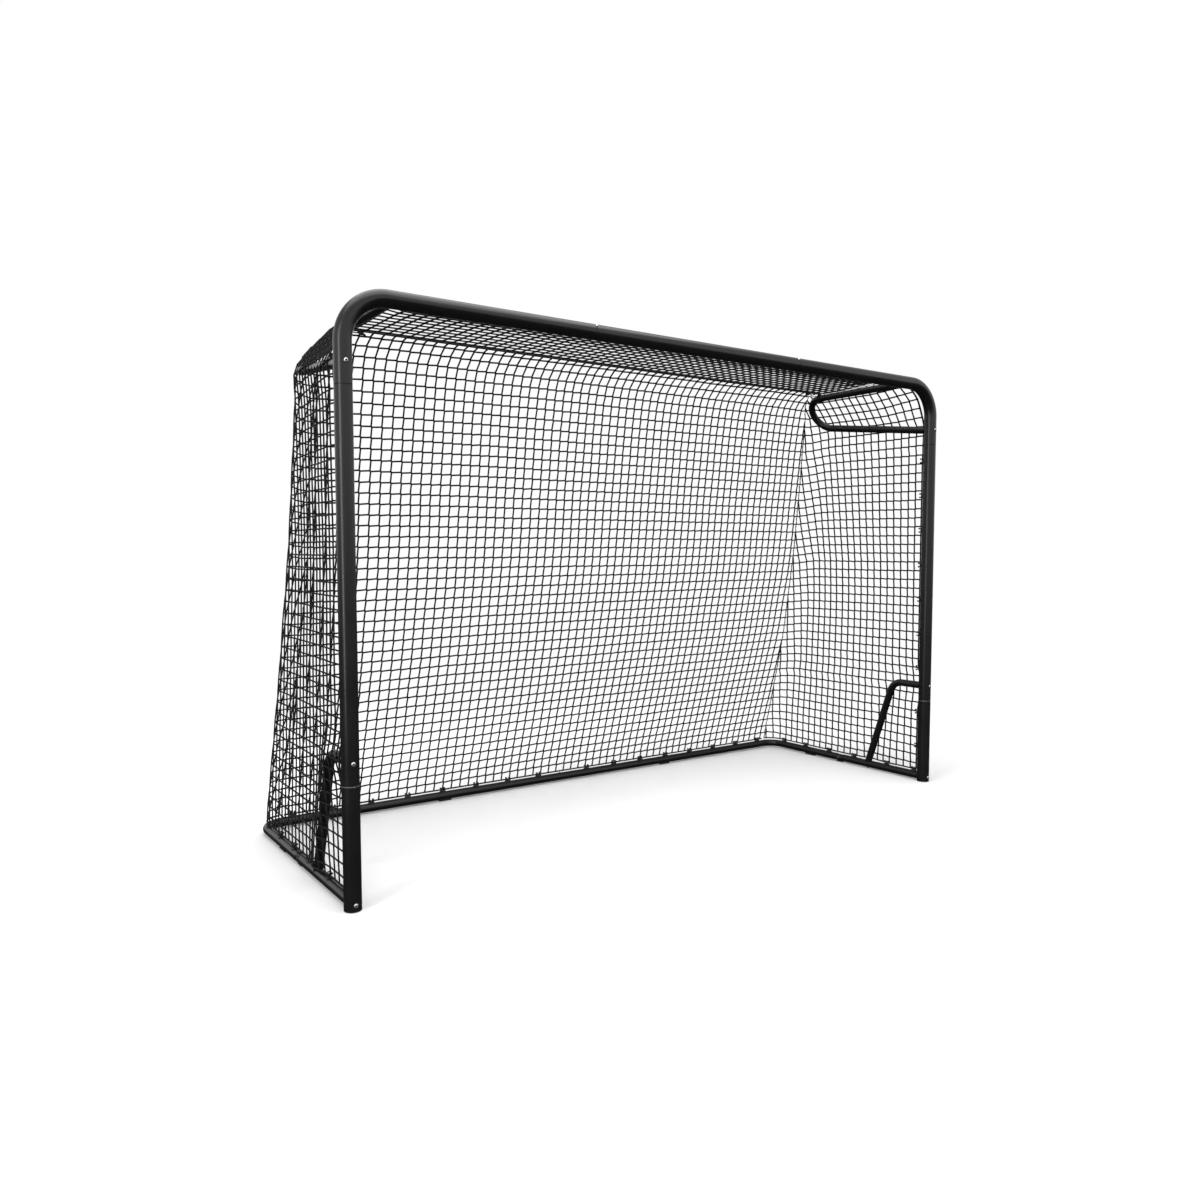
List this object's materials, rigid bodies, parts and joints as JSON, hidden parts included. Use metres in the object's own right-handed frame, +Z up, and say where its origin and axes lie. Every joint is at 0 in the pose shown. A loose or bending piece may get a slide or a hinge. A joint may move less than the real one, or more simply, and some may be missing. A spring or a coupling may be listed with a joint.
{
  "type": "sports goal",
  "caption": "Free-standing sports goal: bent steel tube frame with hairpin top arms, braces, a rear ground frame that folds up on two hinges, and a knotted net.",
  "frame": {"origin": "on the ground, in the middle of the footprint: halfway between the posts, and halfway from the heads of the post bolts to the back of the ground frame", "axes": "+X along the crossbar to the right as the goal is seen from the pitch, +Y from the goal line to the back of the net, +Z up"},
  "size_m": [3, 1.098, 1.98],
  "materials": {
    "powder_coat": "satin charcoal black powder coat",
    "stainless_steel": "bright stainless button heads",
    "dark_steel": "blackened steel",
    "black_plastic": "matt moulded",
    "pad_rubber": "matt",
    "net_cord": "twisted black cord"
  },
  "bodies": {
    "goal_frame": {"arm_bolt_left": "stainless_steel", "arm_bolt_right": "stainless_steel", "arm_plug_left": "black_plastic", "arm_plug_right": "black_plastic", "brace_bolt_left": "stainless_steel", "brace_bolt_right": "stainless_steel", "brace_foot_bolt_left": "dark_steel", "brace_foot_bolt_right": "dark_steel", "brace_foot_plug_left": "black_plastic", "brace_foot_plug_right": "black_plastic", "brace_left": "powder_coat", "brace_plug_left": "black_plastic", "brace_plug_right": "black_plastic", "brace_right": "powder_coat", "corner_tube_left": "powder_coat", "corner_tube_right": "powder_coat", "crossbar_middle": "powder_coat", "crossbar_screw_left": "stainless_steel", "crossbar_screw_right": "stainless_steel", "hinge_front_left": "black_plastic", "hinge_front_right": "black_plastic", "hinge_pin_left": "dark_steel", "hinge_pin_right": "dark_steel", "net_back": "net_cord", "net_clips_crossbar": "black_plastic", "net_clips_post_left": "black_plastic", "net_clips_post_right": "black_plastic", "net_clips_stub_left": "black_plastic", "net_clips_stub_right": "black_plastic", "net_side_left": "net_cord", "net_side_right": "net_cord", "post_cap_left": "black_plastic", "post_cap_right": "black_plastic", "post_lower_left": "powder_coat", "post_lower_right": "powder_coat", "post_middle_left": "powder_coat", "post_middle_right": "powder_coat", "rear_top_cord": "net_cord", "side_stub_left": "powder_coat", "side_stub_right": "powder_coat", "stub_bolt_left": "stainless_steel", "stub_bolt_right": "stainless_steel", "stub_plug_left": "black_plastic", "stub_plug_right": "black_plastic", "top_arm_left": "powder_coat", "top_arm_right": "powder_coat"},
    "rear_frame": {"back_joint_screw": "dark_steel", "foot_pad_back_left": "pad_rubber", "foot_pad_back_right": "pad_rubber", "foot_pad_side_left": "pad_rubber", "foot_pad_side_right": "pad_rubber", "hinge_rear_left": "black_plastic", "hinge_rear_right": "black_plastic", "net_clips_back": "black_plastic", "net_clips_rear_side_left": "black_plastic", "net_clips_rear_side_right": "black_plastic", "rear_tube_left": "powder_coat", "rear_tube_right": "powder_coat"}
  },
  "joints": [
    {"name": "rear_frame_fold", "type": "hinge", "parent": "goal_frame", "child": "rear_frame", "pos_m": [0, 0.01905, 0.024], "axis": [1, 0, 0], "range_deg": [0, 90], "deforming": ["net_back", "net_side_left", "net_side_right"]}
  ]
}
